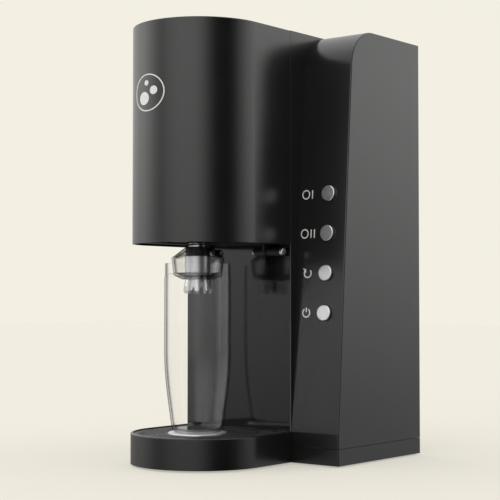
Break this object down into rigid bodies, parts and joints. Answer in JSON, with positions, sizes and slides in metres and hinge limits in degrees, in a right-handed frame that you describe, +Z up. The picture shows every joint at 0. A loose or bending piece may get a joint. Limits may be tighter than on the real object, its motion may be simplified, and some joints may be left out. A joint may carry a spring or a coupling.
{
  "type": "soda carbonator",
  "caption": "Electric drink carbonator: round head with a swinging gas nozzle and glass bottle over a pull-out drip tray, buttons on a leaning tower face, gas cylinder behind a rear door.",
  "frame": {"origin": "middle of the footprint at the floor", "axes": "+Z up, -Y is the front with the bottle, +X is the side with the buttons"},
  "size_m": [0.194, 0.2762, 0.43],
  "materials": {
    "black_satin": "satin, fine moulded texture",
    "black_gloss": "polished",
    "dark_plastic": "matt, fine grain",
    "rubber_black": "matt",
    "seal_clear": "translucent silicone",
    "bottle_glass": "polished",
    "hood_clear": "polished, clear",
    "steel": "brushed",
    "chrome": "polished",
    "button_metal": "satin, bead blasted",
    "brass": "turned",
    "block_alloy": "machined",
    "cylinder_paint": "semi-gloss paint",
    "hose_black": "satin",
    "board_green": "solder mask",
    "component_black": "matt",
    "gear_white": "acetal"
  },
  "bodies": {
    "housing": {"base_shell": "black_satin", "base_plate": "dark_plastic", "rubber_feet": "rubber_black", "base_screws": "steel", "dc_inlet": "component_black", "tower_shell": "black_satin", "column_panel": "black_gloss", "head_shell": "black_satin", "head_floor": "dark_plastic", "door_magnet": "component_black", "door_hinge_pin": "steel", "hinge_bracket_left": "dark_plastic", "hinge_bracket_right": "dark_plastic", "hinge_pins": "chrome", "button_switches": "component_black", "button_guide": "dark_plastic", "button_board": "board_green", "gas_cylinder": "cylinder_paint", "cylinder_cup": "dark_plastic", "cylinder_clip": "dark_plastic", "chassis_frame": "steel", "cylinder_valve": "brass", "valve_block": "block_alloy", "cam_frame": "steel", "drive_motor": "component_black", "motor_plate": "steel", "block_fittings": "brass", "hose_manifold": "block_alloy", "gas_hose": "hose_black", "nozzle_hose": "hose_black", "main_board": "board_green", "board_parts": "component_black"},
    "rear_door": {"rear_door": "black_satin", "door_strike": "steel"},
    "drip_tray": {"drip_tray_tub": "black_satin", "drip_tray_grille": "dark_plastic", "drip_tray_disc": "steel"},
    "bottle_carrier": {"nozzle_yoke": "dark_plastic", "nozzle_neck": "chrome", "nozzle_collar": "dark_plastic", "nozzle_hood": "hood_clear", "nozzle_core": "steel", "nozzle_crown": "hood_clear", "injector_tube": "steel", "bottle_seal": "seal_clear"},
    "bottle": {"glass_bottle": "bottle_glass"},
    "cam_shaft": {"cam_shaft": "steel", "cam_gear": "gear_white"},
    "motor_rotor": {"motor_pinion": "brass"},
    "valve_plunger": {"valve_plunger": "steel", "valve_pin": "steel", "plunger_spring": "steel"},
    "button_level_one": {"button_level_one": "button_metal", "stem_level_one": "dark_plastic"},
    "button_level_two": {"button_level_two": "button_metal", "stem_level_two": "dark_plastic"},
    "button_reset": {"button_reset": "button_metal", "stem_reset": "dark_plastic"},
    "button_power": {"button_power": "button_metal", "stem_power": "dark_plastic"}
  },
  "joints": [
    {"name": "bottle_swing", "type": "hinge", "parent": "housing", "child": "bottle_carrier", "pos_m": [-0.0277, -0.0188, 0.2095], "axis": [-1, 0, 0], "range_deg": [0, 15], "deforming": ["nozzle_hose"]},
    {"name": "bottle_turn", "type": "hinge", "parent": "bottle_carrier", "child": "bottle", "pos_m": [-0.0277, -0.0742, 0.19], "axis": [0, 0, 1], "range_deg": [0, 90]},
    {"name": "drip_tray_pull", "type": "slide", "parent": "housing", "child": "drip_tray", "axis": [0, -1, 0], "range_m": [0, 0.09]},
    {"name": "rear_door_swing", "type": "hinge", "parent": "housing", "child": "rear_door", "pos_m": [-0.0844, 0.1351, 0.2], "axis": [0, 0, 1], "range_deg": [0, 90]},
    {"name": "cam_turn", "type": "hinge", "parent": "housing", "child": "cam_shaft", "pos_m": [0.0503, 0.0892, 0.4125], "axis": [1, 0, 0], "range_deg": [0, 270]},
    {"name": "motor_turn", "type": "hinge", "parent": "housing", "child": "motor_rotor", "pos_m": [0.0683, 0.07512, 0.4125], "axis": [1, 0, 0], "range_deg": [-810, 0]},
    {"name": "plunger_press", "type": "slide", "parent": "housing", "child": "valve_plunger", "axis": [0, 0, -1], "range_m": [0, 0.003], "deforming": ["plunger_spring"]},
    {"name": "press_level_one", "type": "slide", "parent": "housing", "child": "button_level_one", "axis": [0, 0.9978, -0.0667], "range_m": [0, 0.0012], "stiffness_N_per_m": 600, "springref_m": -0.0015},
    {"name": "press_level_two", "type": "slide", "parent": "housing", "child": "button_level_two", "axis": [0, 0.9978, -0.0667], "range_m": [0, 0.0012], "stiffness_N_per_m": 600, "springref_m": -0.0015},
    {"name": "press_reset", "type": "slide", "parent": "housing", "child": "button_reset", "axis": [0, 0.9978, -0.0667], "range_m": [0, 0.0012], "stiffness_N_per_m": 600, "springref_m": -0.0015},
    {"name": "press_power", "type": "slide", "parent": "housing", "child": "button_power", "axis": [0, 0.9978, -0.0667], "range_m": [0, 0.0012], "stiffness_N_per_m": 600, "springref_m": -0.0015}
  ],
  "couplings": [
    {"joint": "motor_turn", "follows": "cam_turn", "ratio": -3},
    {"joint": "plunger_press", "follows": "cam_turn", "m_per_rad": 0.0006366}
  ]
}
